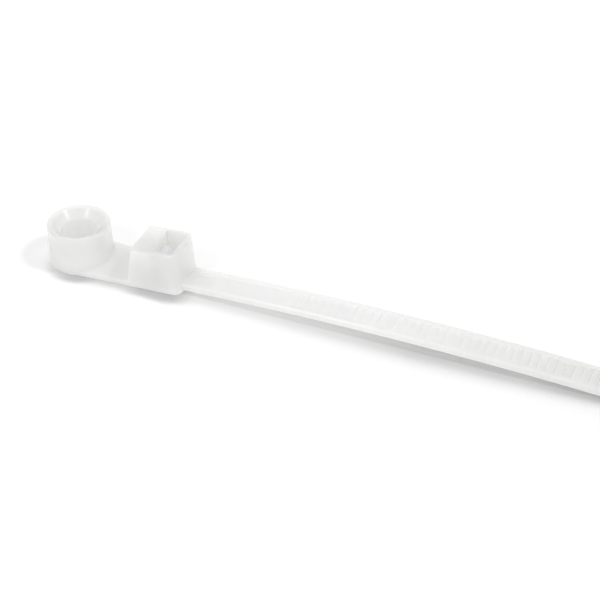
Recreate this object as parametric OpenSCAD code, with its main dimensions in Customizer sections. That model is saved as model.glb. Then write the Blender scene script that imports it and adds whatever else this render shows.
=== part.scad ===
// Screw-mount cable tie, moulded as one piece of natural nylon.
// A flat base plate carries the locking head and, on the tab behind it, a collar for a screw.
// A toothed strap leaves the head at its other end.
// The collar's bore stands on the origin along Z, the strap runs along +X and the underside is Z = 0.
// The teeth are on the strap's upper face. Bent downwards into a loop, the strap enters the head from
// below and the pawl, which stands behind the slot with its free end up, drops into the teeth.

/* [Collar] */
// Bore for the fixing screw
bore_d = 5.6; // [4.2:0.1:6.4]
// Outside diameter at the foot of the collar
collar_d = 9.8; // [8.6:0.1:12]
// Height of the collar
collar_h = 6.35; // [4:0.05:9]
// Draft of the collar's wall, from its foot to its rim
collar_draft = 0.15; // [0.05:0.05:0.4]
// Rounding of the outer rim
rim_r = 0.3; // [0.1:0.05:0.5]
// Flat land round the top of the rim, between its rounding and the seat
rim_land = 0.15; // [0.1:0.05:0.4]
// Rounding of the lip where the land runs into the seat
lip_r = 0.5; // [0.2:0.05:0.7]
// Slope of the funnel-shaped seat for the screw's head, from the level
seat_deg = 45; // [30:1:50]
// Rounding where the seat runs into the bore
seat_r = 0.6; // [0.2:0.05:0.8]
// Fillet where the collar stands on the base plate
foot_r = 0.6; // [0.2:0.05:0.8]

/* [Base plate] */
// Distance from the screw's axis to the head
head_x = 9.65; // [7:0.05:14]
// Thickness of the plate
plate_t = 0.85; // [0.6:0.05:1.4]
// Rounding of the plate's upper edge
plate_edge_r = 0.3; // [0.1:0.05:0.4]
// Rounding of the lower edge, all round the underside
base_r = 0.15; // [0.05:0.05:0.2]
// Step from the collar's wall in to the plate's round end
plate_in = 0.15; // [0.1:0.05:0.4]
// Ledge of the plate outside the head's walls
ledge = 0.12; // [0.06:0.02:0.3]

/* [Head] */
// Height of the head at the tab's end
head_h = 6.3; // [5:0.05:8]
// Extra height of the head at the strap's end
head_rise = 0.45; // [0:0.05:0.8]
// Solid length behind the pawl, at the top of the head
head_back = 3.25; // [2:0.05:5]
// Wall at each side of the slot, at the top of the head
side_wall = 0.7; // [0.5:0.05:1.5]
// Wall between the slot and the strap's root, at the top of the head
slot_wall = 0.75; // [0.5:0.05:1.5]
// Lean of the head's end walls, from the plate to the top
end_lean = 0.5; // [0.2:0.05:1]
// Lean of the head's side walls at the strap's end
side_lean = 0.12; // [0.06:0.02:0.8]
// Corner rounding beside the tab
tab_corner_r = 0.45; // [0.4:0.05:0.9]
// Corner rounding beside the strap
strap_corner_r = 1.2; // [0.9:0.05:1.6]
// Rounding of the head's top edge
top_edge_r = 0.3; // [0.2:0.05:0.4]

/* [Lock] */
// Room over the strap's thickness in the slot
slot_play = 0.55; // [0.4:0.05:0.7]
// Room at each side of the strap in the slot
slot_side_play = 0.3; // [0.1:0.05:0.4]
// Lead-in at the slot's lower mouth
slot_lead = 0.35; // [0.1:0.05:0.5]
// Thickness of the pawl
pawl_t = 1.35; // [1:0.05:1.6]
// Thickness of the finger that ends the pawl, by which it can be held back
finger_t = 1.1; // [0.7:0.05:1.2]
// Height of the finger over the pawl's uppermost tooth
finger_h = 0.6; // [0.4:0.05:1]
// Rounding of the pawl's upright corners
pawl_corner_r = 0.35; // [0.1:0.05:0.45]
// Thickness of the pawl at its hinge
hinge_t = 0.7; // [0.5:0.05:0.8]
// Height of the pawl's hinge above the underside
hinge_z = 2.2; // [1.8:0.1:2.8]
// Room behind the pawl to spring back into
pawl_room = 0.35; // [0.3:0.05:1]
// Depth of the pawl's tip below the head's top
pawl_drop = 1.3; // [0.6:0.1:1.6]
// Reach of the pawl's teeth into the slot
pawl_reach = 0.85; // [0.5:0.05:0.9]
// Room at each side of the pawl inside the strap's channel
pawl_side_play = 0.65; // [0.3:0.05:0.9]

/* [Strap] */
// Width of the strap
strap_w = 4.9; // [4.3:0.1:7.6]
// Thickness of the strap over its rails
strap_t = 1.1; // [1:0.05:1.6]
// Length of the strap from the head to its tip
strap_len = 192; // [140:1:360]
// Width of the smooth rail at each side of the channel
rail_w = 0.8; // [0.5:0.05:1.1]
// Depth of the channel's floor below the rails
channel_d = 0.22; // [0.1:0.01:0.35]
// Rounding along the strap's edges
edge_r = 0.25; // [0.1:0.05:0.35]
// Height of the strap's underside where it leaves the head
root_z = 0.3; // [0:0.05:0.5]
// Smooth stretch of channel from the head to the first tooth
pad_len = 17.4; // [6:0.1:30]
// Pitch of the teeth
tooth_pitch = 1.23; // [0.9:0.01:1.4]
// Height of a tooth
tooth_h = 0.3; // [0.2:0.02:0.36]
// Diameter of the round moulding mark at the strap's root
mark_d = 2.1; // [1.4:0.1:2.6]
// Distance of the mark's middle from the head
mark_s = 2.1; // [1.6:0.1:4]
// Depth of the round moulding mark
mark_depth = 0.12; // [0.05:0.01:0.2]

/* [Tail] */
// Length of the tapered tail
tail_len = 24; // [12:1:40]
// Thickness of the tail
tail_t = 0.85; // [0.7:0.05:0.95]
// Width of the tail at its rounded tip
tip_w = 2.4; // [1.6:0.1:3.2]

/* [Bow] */
// Angle at which the strap springs up from the table
lift_deg = 2.55; // [1:0.05:5]
// Bend radius of the strap beside the head
lift_r = 60; // [40:1:200]
// Radius of the strap's long bow
bow_r = 610; // [400:10:900]
// Bend radius where the strap comes down to the table
land_r = 150; // [100:5:400]

/* [Hidden] */
eps = 0.01;
past = 1;
facets = 32;
ring_facets = 96;
bow_steps = 28;

// Collar
bore_r = bore_d / 2;
collar_r = collar_d / 2;
collar_top_r = collar_r - collar_draft;
seat_top_r = collar_top_r - rim_r - rim_land;
seat_run = seat_top_r - lip_r * sin(seat_deg) - bore_r - seat_r * (1 - sin(seat_deg));
bore_top_z = collar_h - lip_r * (1 - cos(seat_deg)) - seat_run * tan(seat_deg) - seat_r * cos(seat_deg);

// Slot and head, laid out from the tab along X at the level of the head's top
slot_w = strap_w + 2 * slot_side_play;
slot_t = strap_t + slot_play;
top_x0 = head_x + end_lean;
window_x0 = top_x0 + head_back;
pawl_x0 = window_x0 + pawl_room;
slot_x0 = pawl_x0 + pawl_t;
slot_x1 = slot_x0 + slot_t;
top_x1 = slot_x1 + slot_wall;
foot_x1 = top_x1 + end_lean;
top_half_w = slot_w / 2 + side_wall;
foot_half_w = top_half_w + side_lean;
tip_z = head_h + head_rise * (pawl_x0 - top_x0) / (top_x1 - top_x0) - pawl_drop;

// Base plate: a round end under the collar, drawn by tangents to two corners at the strap's end
plate_r = collar_r - plate_in;
corner_r = strap_corner_r + ledge;
corner_at = [foot_x1 - strap_corner_r, foot_half_w - strap_corner_r];
side_turn = atan2(corner_at[1], corner_at[0]) + acos((plate_r - corner_r) / norm(corner_at));

// Half the plate's width at a distance x from the screw's axis
function plate_half(x) = (plate_r - x * cos(side_turn)) / sin(side_turn);

// Strap levels, above its underside
channel_w = strap_w - 2 * rail_w;
pad_z = strap_t - channel_d;
gap_z = pad_z - tooth_h;
pawl_w = channel_w - 2 * pawl_side_play;

// The bow: a short bend up, a long bend over and a bend back onto the table
land_deg = acos(1 - (root_z + (lift_r + bow_r) * (1 - cos(lift_deg))) / (bow_r + land_r));
lift_len = lift_r * lift_deg * PI / 180;
bow_len = bow_r * (lift_deg + land_deg) * PI / 180;
land_len = land_r * land_deg * PI / 180;
lift_end = [foot_x1 + lift_r * sin(lift_deg), root_z + lift_r * (1 - cos(lift_deg))];
bow_end = lift_end + bow_r * [sin(lift_deg) + sin(land_deg), cos(land_deg) - cos(lift_deg)];
land_end = bow_end + land_r * [sin(land_deg), cos(land_deg) - 1];

// Channel and teeth, by length along the strap's underside from the head; the strap starts inside the wall
root_s = -(slot_wall / 2 + end_lean);
tooth_rise = 0.06 * tooth_pitch;
tooth_land = 0.28 * tooth_pitch;
tooth_count = floor((strap_len - tail_len - pad_len) / tooth_pitch) - 1;
channel_s1 = pad_len + tooth_count * tooth_pitch;

// Points on an arc of radius r about c
function arc(c, r, from, to, steps = 6) =
    [for (i = [0:steps]) c + r * [cos(from + (to - from) * i / steps), sin(from + (to - from) * i / steps)]];

// Place and heading of the strap's underside at a length s from the head
function spot(s) =
    s <= 0 ? [foot_x1 + s, root_z, 0] :
    s <= lift_len ?
        let (a = s / lift_r * 180 / PI)
        [foot_x1 + lift_r * sin(a), root_z + lift_r * (1 - cos(a)), a] :
    s <= lift_len + bow_len ?
        let (a = lift_deg - (s - lift_len) / bow_r * 180 / PI)
        [lift_end[0] + bow_r * (sin(lift_deg) - sin(a)), lift_end[1] + bow_r * (cos(a) - cos(lift_deg)), a] :
    s <= lift_len + bow_len + land_len ?
        let (a = (s - lift_len - bow_len) / land_r * 180 / PI - land_deg)
        [bow_end[0] + land_r * (sin(land_deg) + sin(a)), bow_end[1] + land_r * (cos(land_deg) - cos(a)), a] :
    [land_end[0] + s - lift_len - bow_len - land_len, 0, 0];

// Point at a height h over the strap's underside
function above(s, h) = let (p = spot(s)) [p[0] - h * sin(p[2]), p[1] + h * cos(p[2])];

// Turns a drawing in X and Z into a solid of the given width, centred across the tie
module across(w) {
    rotate([90, 0, 0]) linear_extrude(height = w, center = true) children();
}

// Disc as thick as the plate, with the plate's rounded edges
module plate_disc(r, n) {
    rotate_extrude($fn = n)
        polygon(concat(
            [[0, 0]],
            arc([r - base_r, base_r], base_r, -90, 0, 3),
            arc([r - plate_edge_r, plate_t - plate_edge_r], plate_edge_r, 0, 90, 4),
            [[0, plate_t]]));
}

// Base plate, from under the collar to the strap's end of the head
module base_plate() {
    hull() {
        plate_disc(plate_r, ring_facets);
        for (side = [-1, 1])
            translate([corner_at[0], side * corner_at[1], 0]) plate_disc(corner_r, facets);
    }
}

// Solid collar, with a drafted wall and a rounded rim
module collar_wall() {
    rotate_extrude($fn = ring_facets)
        polygon(concat(
            [[0, 0]],
            arc([collar_r - base_r, base_r], base_r, -90, 0, 3),
            [[collar_r, plate_t]],
            arc([collar_top_r - rim_r, collar_h - rim_r], rim_r, 0, 90),
            [[0, collar_h]]));
}

// Fillet between the collar and the plate, ended halfway over the plate's rounded edges
module collar_foot() {
    inset = plate_edge_r / 2;
    start = plate_half(0) - inset;
    end = plate_half(head_x) - inset;
    intersection() {
        rotate_extrude($fn = ring_facets)
            polygon(concat(
                [[bore_r, plate_t / 2], [collar_r + foot_r, plate_t / 2]],
                arc([collar_r + foot_r, plate_t + foot_r], foot_r, 270, 180),
                [[bore_r, plate_t + foot_r]]));
        linear_extrude(height = plate_t + 2 * foot_r)
            polygon([[0, -start], [head_x, -end], [head_x, end], [0, start]]);
    }
}

// Cut for the screw: a straight bore that opens by a rounding into the funnel-shaped seat below the lip
module screw_bore() {
    rotate_extrude($fn = ring_facets)
        polygon(concat(
            [[0, -past], [bore_r, -past]],
            arc([bore_r + seat_r, bore_top_z], seat_r, 180, 90 + seat_deg),
            arc([seat_top_r, collar_h - lip_r], lip_r, 90 + seat_deg, 90),
            [[seat_top_r, collar_h + past], [0, collar_h + past]]));
}

// Ring that rounds the head's top edge round a corner of radius r
module edge_ring(r) {
    rotate_extrude($fn = facets)
        intersection() {
            translate([r - top_edge_r, 0]) circle(r = top_edge_r, $fn = facets);
            translate([0, -top_edge_r]) square([r, 2 * top_edge_r]);
        }
}

// Head block: its foot follows the plate, and its walls lean in to a sloping top
module head_block() {
    tab_half_w = plate_half(head_x) - ledge;
    foot_z = plate_t / 2;
    hull() {
        for (side = [-1, 1]) {
            translate([head_x + tab_corner_r, side * (tab_half_w - tab_corner_r), foot_z])
                cylinder(r = tab_corner_r, h = foot_z, $fn = facets);
            translate([corner_at[0], side * corner_at[1], foot_z])
                cylinder(r = strap_corner_r, h = foot_z, $fn = facets);
            translate([top_x0 + tab_corner_r, side * (top_half_w - tab_corner_r), head_h - top_edge_r])
                edge_ring(tab_corner_r);
            translate([top_x1 - strap_corner_r, side * (top_half_w - strap_corner_r),
                       head_h + head_rise - top_edge_r])
                edge_ring(strap_corner_r);
        }
    }
}

// Strap slot with its lead-in below, opened behind the pawl down to the hinge
module slot_cut() {
    over = head_h + head_rise + past;
    across(slot_w)
        polygon([
            [slot_x0 - slot_lead - eps, -eps], [slot_x0, slot_lead], [slot_x0, hinge_z],
            [window_x0, hinge_z], [window_x0, over], [slot_x1, over],
            [slot_x1, slot_lead], [slot_x1 + slot_lead + eps, -eps]]);
}

// Pawl: a tongue on a thin hinge. Its teeth face the slot with their steep sides up, below a free finger.
module pawl() {
    tip_x = slot_x0 + pawl_reach;
    nose_z = tip_z - finger_h;
    finger_x1 = pawl_x0 + finger_t;
    count = max(1, floor((nose_z - hinge_z - hinge_t / 2) / tooth_pitch));
    intersection() {
        across(pawl_w)
            polygon(concat(
                [[slot_x0 - hinge_t, hinge_z - hinge_t], [slot_x0, hinge_z - hinge_t], [slot_x0, hinge_z]],
                [for (i = [count:-1:1]) each [
                    [tip_x - tooth_h, nose_z - i * tooth_pitch], [tip_x, nose_z - (i - 1) * tooth_pitch]]],
                [[finger_x1, nose_z], [finger_x1, tip_z], [pawl_x0, tip_z], [pawl_x0, hinge_z + hinge_t],
                 [slot_x0 - hinge_t, hinge_z]]));
        translate([pawl_x0, -pawl_w / 2])
            linear_extrude(height = tip_z)
                translate([pawl_corner_r, pawl_corner_r])
                    offset(r = pawl_corner_r, $fn = facets)
                        square([tip_x - pawl_x0 - 2 * pawl_corner_r, pawl_w - 2 * pawl_corner_r]);
    }
}

// Strap of rounded section, swept along the bow from its root in the head to the tail
module strap_run() {
    half = strap_w / 2 - edge_r;
    top = strap_t - edge_r;
    section = concat(
        arc([half, edge_r], edge_r, -90, 0, 3), arc([half, top], edge_r, 0, 90, 3),
        arc([-half, top], edge_r, 90, 180, 3), arc([-half, edge_r], edge_r, 180, 270, 3));
    stations = concat(
        [root_s],
        [for (i = [0:4]) lift_len * i / 4],
        [for (i = [1:bow_steps]) lift_len + bow_len * i / bow_steps],
        [for (i = [1:8]) lift_len + bow_len + land_len * i / 8],
        [strap_len - tail_len]);
    n = len(section);
    last = len(stations) - 1;
    polyhedron(
        points = [for (s = stations) for (q = section) let (p = above(s, q[1])) [p[0], q[0], p[1]]],
        faces = concat(
            [[for (j = [0:n - 1]) j]],
            [for (i = [0:last - 1]) for (j = [0:n - 1]) let (k = (j + 1) % n) each [
                [i * n + j, (i + 1) * n + j, (i + 1) * n + k],
                [i * n + j, (i + 1) * n + k, i * n + k]]],
            [[for (j = [n - 1:-1:0]) last * n + j]]));
}

// Thin tail, tapered to a round tip
module tail() {
    tip_r = tip_w / 2;
    half = strap_w / 2 - edge_r;
    translate([spot(strap_len - tail_len)[0], 0, 0])
        linear_extrude(height = tail_t) {
            polygon([[-past, -half], [0, -half], [tail_len - tip_r, -tip_r], [tail_len - tip_r, tip_r],
                     [0, half], [-past, half]]);
            translate([tail_len - tip_r, 0]) circle(r = tip_r, $fn = facets);
        }
}

// Channel and teeth: one cut that follows the strap's bow
module channel_cut() {
    start = root_s - eps;
    run = channel_s1 - start;
    across(channel_w)
        polygon(concat(
            [above(start, pad_z)],
            [for (s = [0:2:pad_len - tooth_pitch]) above(s, pad_z)],
            [above(pad_len - tooth_pitch / 2, pad_z), above(pad_len, gap_z)],
            [for (i = [0:tooth_count - 1]) let (s = pad_len + i * tooth_pitch) each [
                above(s + tooth_rise, pad_z),
                above(s + tooth_land, pad_z),
                above(s + tooth_pitch, gap_z)]],
            [for (i = [bow_steps:-1:0]) above(start + run * i / bow_steps, strap_t + past)]));
}

// Round mark left by the mould at the strap's root
module mould_mark() {
    at = above(mark_s, pad_z - mark_depth);
    translate([at[0], 0, at[1]]) rotate([0, -spot(mark_s)[2], 0])
        cylinder(d = mark_d, h = strap_t, $fn = facets);
}

module strap() {
    difference() {
        union() {
            strap_run();
            tail();
        }
        channel_cut();
        mould_mark();
    }
}

module cable_tie() {
    color("whitesmoke") {
        difference() {
            union() {
                base_plate();
                collar_wall();
                collar_foot();
                head_block();
            }
            screw_bore();
            slot_cut();
        }
        pawl();
        strap();
    }
}

cable_tie();
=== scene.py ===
import math

import bpy
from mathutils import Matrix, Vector

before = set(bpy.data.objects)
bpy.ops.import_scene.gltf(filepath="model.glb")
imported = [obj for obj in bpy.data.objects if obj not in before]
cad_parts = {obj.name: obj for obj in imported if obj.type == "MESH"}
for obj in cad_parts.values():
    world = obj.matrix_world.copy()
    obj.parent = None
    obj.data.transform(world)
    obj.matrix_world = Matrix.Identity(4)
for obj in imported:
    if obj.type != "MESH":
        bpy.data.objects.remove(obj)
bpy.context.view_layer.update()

# The tie: collar, tab, locking head, pawl and toothed strap, injection-moulded in one shot.
# Natural nylon: milky, so that light soaks in and spreads, yet clear enough for inner walls to show through.
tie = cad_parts["cable_tie"]
nylon = bpy.data.materials.new("natural_nylon")
nylon.use_nodes = True
moulded = nylon.node_tree
skin = moulded.nodes["Principled BSDF"]
skin.inputs["IOR"].default_value = 1.53
skin.inputs["Subsurface Weight"].default_value = 1.0
skin.inputs["Subsurface Radius"].default_value = (1.0, 1.0, 0.9)
skin.inputs["Subsurface Scale"].default_value = 0.0016
skin.inputs["Transmission Weight"].default_value = 0.42
skin.inputs["Coat Weight"].default_value = 0.6
skin.inputs["Coat Roughness"].default_value = 0.15
on_tie = moulded.nodes.new("ShaderNodeTexCoord").outputs["Object"]


def ramp(tree, value, stops):
    """Runs a value through colours at rising positions from 0 to 1, and gives back the colour."""
    node = tree.nodes.new("ShaderNodeValToRGB")
    elements = node.color_ramp.elements
    for element, (position, colour) in zip(elements, (stops[0], stops[-1])):
        element.position = position
        element.color = (*colour, 1)
    for position, colour in stops[1:-1]:
        elements.new(position).color = (*colour, 1)
    tree.links.new(value, node.inputs["Fac"])
    return node.outputs["Color"]


# Faint clouds a few millimetres across, where the melt cooled faster or slower.
clouds = moulded.nodes.new("ShaderNodeTexNoise")
clouds.inputs["Scale"].default_value = 260
clouds.inputs["Detail"].default_value = 3
moulded.links.new(on_tie, clouds.inputs["Vector"])
dull_milk = (0.945, 0.943, 0.928)
bright_milk = (0.975, 0.973, 0.962)
milk = ramp(moulded, clouds.outputs["Fac"], ((0.3, dull_milk), (0.7, bright_milk)))


def feed(tree, socket, given):
    """Sets a socket to a number, or links an output to it."""
    if isinstance(given, (int, float)):
        socket.default_value = given
    else:
        tree.links.new(given, socket)


def combine(tree, operation, *given, clamp=False):
    """Works a sum on outputs and numbers, and gives back the result."""
    node = tree.nodes.new("ShaderNodeMath")
    node.operation = operation
    node.use_clamp = clamp
    for socket, value in zip(node.inputs, given):
        feed(tree, socket, value)
    return node.outputs[0]


def spread(tree, value, from_min, from_max, to_min=0.0, to_max=1.0, smooth=False):
    """Maps a value from one span to another, and gives back the result."""
    node = tree.nodes.new("ShaderNodeMapRange")
    node.interpolation_type = "SMOOTHSTEP" if smooth else "LINEAR"
    spans = {"Value": value, "From Min": from_min, "From Max": from_max, "To Min": to_min, "To Max": to_max}
    for name, given in spans.items():
        feed(tree, node.inputs[name], given)
    return node.outputs["Result"]


def vector_step(operation, vector, other=None):
    """Works one step on a vector in the nylon, with fixed numbers where the step needs them."""
    node = moulded.nodes.new("ShaderNodeVectorMath")
    node.operation = operation
    moulded.links.new(vector, node.inputs[0])
    if other is not None:
        node.inputs[1].default_value = other
    return node.outputs["Value" if operation == "LENGTH" else "Vector"]


def painted_shade_box(centre, half, soft, strength):
    """Puts out a strength for painted shade inside a box of the tie's space, in millimetres, falling to 0 at
    its faces.
    """
    centred = vector_step("SUBTRACT", on_tie, [v / 1000 for v in centre])
    folded = vector_step("ABSOLUTE", centred)
    shares = moulded.nodes.new("ShaderNodeSeparateXYZ")
    moulded.links.new(vector_step("DIVIDE", folded, [v / 1000 for v in half]), shares.inputs[0])
    across = combine(moulded, "MAXIMUM", shares.outputs["X"], shares.outputs["Y"])
    farthest = combine(moulded, "MAXIMUM", across, shares.outputs["Z"])
    return spread(moulded, farthest, 1.0, 1.0 - soft, 0.0, strength, smooth=True)


# Painted shade: the slot's sides and far wall are painted greyer, standing in for the shade between walls
# that face each other, but not the pawl.
slot_sides_shade = painted_shade_box(centre=(15.1, 0, 4.4), half=(1.85, 2.9, 2.4), soft=0.08, strength=0.4)
far_side_shade = painted_shade_box(centre=(15.1, 2.7, 4.4), half=(1.85, 0.3, 2.4), soft=0.08, strength=0.3)
pawl_unshaded = painted_shade_box(centre=(14.9, 0, 4.0), half=(1.25, 1.15, 1.6), soft=0.05, strength=0.4)
slot_shade_less_pawl = combine(moulded, "SUBTRACT", slot_sides_shade, pawl_unshaded, clamp=True)
painted_slot_shade = combine(moulded, "ADD", slot_shade_less_pawl, far_side_shade)

# Painted shade: the bore's wall and the funnel's foot are painted greyer too, fading out towards the rim.
rim_radius = 0.0047
from_axis = vector_step("LENGTH", vector_step("MULTIPLY", on_tie, (1, 1, 0)))
to_rim = spread(moulded, from_axis, 0.0, rim_radius)
painted_bore_shade = ramp(moulded, to_rim, ((0.6, (0.40,) * 3), (0.80, (0.72,) * 3), (1.0, (0,) * 3)))

# Painted shade greys the strap's root, close to the head, and the strap's long run, most of all its far
# rail, where a painted shadow stands in for its own shadow seen through the thin nylon.
strap_root_shade = painted_shade_box(centre=(20.3, 0, 1.4), half=(2.6, 2.7, 1.4), soft=0.6, strength=0.22)
strap_run_shadow = painted_shade_box(centre=(200, 0, 1), half=(155, 4, 4), soft=0.2, strength=0.36)
far_rail_shade = painted_shade_box(centre=(200, 2.4, 1), half=(170, 0.8, 4), soft=0.12, strength=0.35)
painted_strap_shade = combine(moulded, "ADD", combine(moulded, "MAXIMUM", strap_root_shade, strap_run_shadow), far_rail_shade)

# The grey of all the painted shade, mixed into the milk by the masks above.
painted_shade_grey = (0.70, 0.698, 0.688, 1)
painted_hollow_shade = combine(moulded, "MAXIMUM", painted_slot_shade, painted_bore_shade)
milk_and_painted_shade = moulded.nodes.new("ShaderNodeMix")
milk_and_painted_shade.data_type = "RGBA"
moulded.links.new(combine(moulded, "MAXIMUM", painted_hollow_shade, painted_strap_shade), milk_and_painted_shade.inputs["Factor"])
moulded.links.new(milk, milk_and_painted_shade.inputs["A"])
milk_and_painted_shade.inputs["B"].default_value = painted_shade_grey
moulded.links.new(milk_and_painted_shade.outputs["Result"], skin.inputs["Base Color"])

# Flow streaks along the strap, where the melt ran into the mould, a little glossier and duller by turns.
drawn_out = moulded.nodes.new("ShaderNodeMapping")
drawn_out.inputs["Scale"].default_value = (90, 1100, 1100)
moulded.links.new(on_tie, drawn_out.inputs["Vector"])
streaks = moulded.nodes.new("ShaderNodeTexNoise")
streaks.inputs["Scale"].default_value = 1
streaks.inputs["Detail"].default_value = 2
moulded.links.new(drawn_out.outputs["Vector"], streaks.inputs["Vector"])
satin = spread(moulded, streaks.outputs["Fac"], 0.3, 0.7, 0.46, 0.60)
moulded.links.new(satin, skin.inputs["Roughness"])

# The gentle waves that shrinkage leaves in the skin.
waves = moulded.nodes.new("ShaderNodeTexNoise")
waves.inputs["Scale"].default_value = 700
waves.inputs["Detail"].default_value = 1
moulded.links.new(on_tie, waves.inputs["Vector"])
shrunk = moulded.nodes.new("ShaderNodeBump")
shrunk.inputs["Strength"].default_value = 0.5
shrunk.inputs["Distance"].default_value = 0.00004
moulded.links.new(waves.outputs["Fac"], shrunk.inputs["Height"])
moulded.links.new(shrunk.outputs["Normal"], skin.inputs["Normal"])

# Light that has come in leaves on the far side, dimmer the more nylon it has crossed.
left_after_mm = 0.965
ray = moulded.nodes.new("ShaderNodeLightPath")
crossed_mm = combine(moulded, "MULTIPLY", ray.outputs["Ray Length"], 1000)
way_out = moulded.nodes.new("ShaderNodeBsdfTransparent")
moulded.links.new(combine(moulded, "POWER", left_after_mm, crossed_mm), way_out.inputs["Color"])
side = moulded.nodes.new("ShaderNodeNewGeometry")
body = moulded.nodes.new("ShaderNodeMixShader")
moulded.links.new(side.outputs["Backfacing"], body.inputs["Fac"])
moulded.links.new(skin.outputs["BSDF"], body.inputs[1])
moulded.links.new(way_out.outputs["BSDF"], body.inputs[2])
moulded.links.new(body.outputs["Shader"], moulded.nodes["Material Output"].inputs["Surface"])
tie.data.materials.clear()
tie.data.materials.append(nylon)

# The table: a seamless sheet of white paper that lies flat and runs far past the picture.
# Seen directly it is lifted to white, and a painted contact shadow darkens it where the tie shuts out the
# light close by.
table_reach = 1.5
table_level = -0.00003
table_mesh = bpy.data.meshes.new("table")
table_mesh.from_pydata(
    [(-table_reach, -table_reach, table_level), (table_reach, -table_reach, table_level),
     (table_reach, table_reach, table_level), (-table_reach, table_reach, table_level)], [], [(0, 1, 2, 3)]
)
table = bpy.data.objects.new("table", table_mesh)
bpy.context.scene.collection.objects.link(table)
paper = bpy.data.materials.new("white_paper")
paper.use_nodes = True
sheet = paper.node_tree
sheet.nodes.remove(sheet.nodes["Principled BSDF"])
matt = sheet.nodes.new("ShaderNodeBsdfDiffuse")

# The paper's white, and how much it is lifted in direct sight, in a reflection and through the nylon.
paper_white = 0.85
white_lift = 0.164
sight = sheet.nodes.new("ShaderNodeLightPath")
straight = combine(sheet, "MAXIMUM", sight.outputs["Is Camera Ray"], sight.outputs["Is Glossy Ray"])
seen = combine(sheet, "MAXIMUM", straight, sight.outputs["Is Transmission Ray"])
white = combine(sheet, "MULTIPLY_ADD", seen, white_lift, paper_white)

# The painted contact shadow leans towards the front, and reaches farther out the higher the strap stands.
shadow_lean = (-0.4, 0.65, 0.65)
spot = sheet.nodes.new("ShaderNodeNewGeometry")
along = sheet.nodes.new("ShaderNodeSeparateXYZ")
sheet.links.new(spot.outputs["Position"], along.inputs[0])
lean = sheet.nodes.new("ShaderNodeCombineXYZ")
for axis, part in zip("XYZ", shadow_lean):
    lean.inputs[axis].default_value = part
contact = sheet.nodes.new("ShaderNodeAmbientOcclusion")
contact.samples = 16
shadow_reach = spread(sheet, along.outputs["X"], 0.012, 0.065, 0.0025, 0.0100)
sheet.links.new(shadow_reach, contact.inputs["Distance"])
sheet.links.new(lean.outputs["Vector"], contact.inputs["Normal"])

# How much of the white the painted shadow takes at its deepest, by millimetres along the tie: clear of the
# collar's end, under the collar, the tab and the head, and then under the strap's spring, its bow and its
# way down.
shade_start = -10
shade_length = 90
shade_taken = (
    (-6, 0.02), (1, 0.43), (3, 0.43), (5.5, 0.32), (9.8, 0.32), (12.4, 0.43), (17.3, 0.47),
    (20, 0.23), (30.6, 0.22), (44, 0.29), (54.4, 0.39), (70, 0.40), (80, 0.51),
)
stretch = spread(sheet, along.outputs["X"], shade_start / 1000, (shade_start + shade_length) / 1000)
shade_stops = [((x - shade_start) / shade_length, (share,) * 3) for x, share in shade_taken]
taken = ramp(sheet, stretch, shade_stops)
taken_in_sight = combine(sheet, "MULTIPLY", sight.outputs["Is Camera Ray"], taken)
darkest = combine(sheet, "SUBTRACT", 1, taken_in_sight)
painted_shadow = spread(sheet, contact.outputs["AO"], 0.60, 0.95, darkest, 1.0, smooth=True)
sheet.links.new(combine(sheet, "MULTIPLY", white, painted_shadow), matt.inputs["Color"])
sheet.links.new(matt.outputs[0], sheet.nodes["Material Output"].inputs["Surface"])
table_mesh.materials.append(paper)

# The light: an even white surround like a light tent, with small soft boxes for shape and sheen.
# The strongest hangs at the right, one overhead, and two in front for the faces and the edges.
surround_strength = 0.72
world = bpy.data.worlds.new("surround")
bpy.context.scene.world = world
world.use_nodes = True
world.node_tree.nodes["Background"].inputs["Color"].default_value = (1, 1, 1, 1)
world.node_tree.nodes["Background"].inputs["Strength"].default_value = surround_strength

# Light bounces many times between the nylon's milky walls before it dies away.
bounces = 24
bpy.context.scene.cycles.max_bounces = bounces
bpy.context.scene.cycles.diffuse_bounces = bounces
bpy.context.scene.cycles.transmission_bounces = bounces
bpy.context.scene.cycles.transparent_max_bounces = bounces

lit_point = Vector((0.035, 0, 0))


def soft_box(name, place, size, power):
    """Hangs a round soft box at a place, turned towards the tie."""
    data = bpy.data.lights.new(name, "AREA")
    data.shape = "DISK"
    data.size = size
    data.energy = power
    box = bpy.data.objects.new(name, data)
    bpy.context.scene.collection.objects.link(box)
    box.location = place
    box.rotation_euler = (lit_point - Vector(place)).to_track_quat("-Z", "Y").to_euler()


soft_box("right_box", place=(0.371, 0.060, 0.492), size=0.1, power=0.68)
soft_box("top_box", place=(-0.115, 0.060, 0.578), size=0.25, power=0.32)
soft_box("front_box", place=(-0.066, -0.58, 0.118), size=0.4, power=0.45)
soft_box("edge_box", place=(-0.145, -0.36, 0.444), size=0.1, power=0.21)

# The camera: a long lens from in front, a little over the tie's near side.
turn = math.radians(22.0)
tilt = math.radians(37.71)
distance = 0.21983
aim = Vector((0.034804, 0.002318, 0))
ahead = Vector((-math.sin(turn) * math.cos(tilt), math.cos(turn) * math.cos(tilt), -math.sin(tilt)))
camera_data = bpy.data.cameras.new("camera")
camera_data.sensor_width = 36
camera_data.lens = 90
camera_data.clip_start = 0.01
camera = bpy.data.objects.new("camera", camera_data)
bpy.context.scene.collection.objects.link(camera)
camera.location = aim - ahead * distance
camera.rotation_euler = ahead.to_track_quat("-Z", "Y").to_euler()
bpy.context.scene.camera = camera
bpy.context.scene.view_settings.view_transform = "Standard"
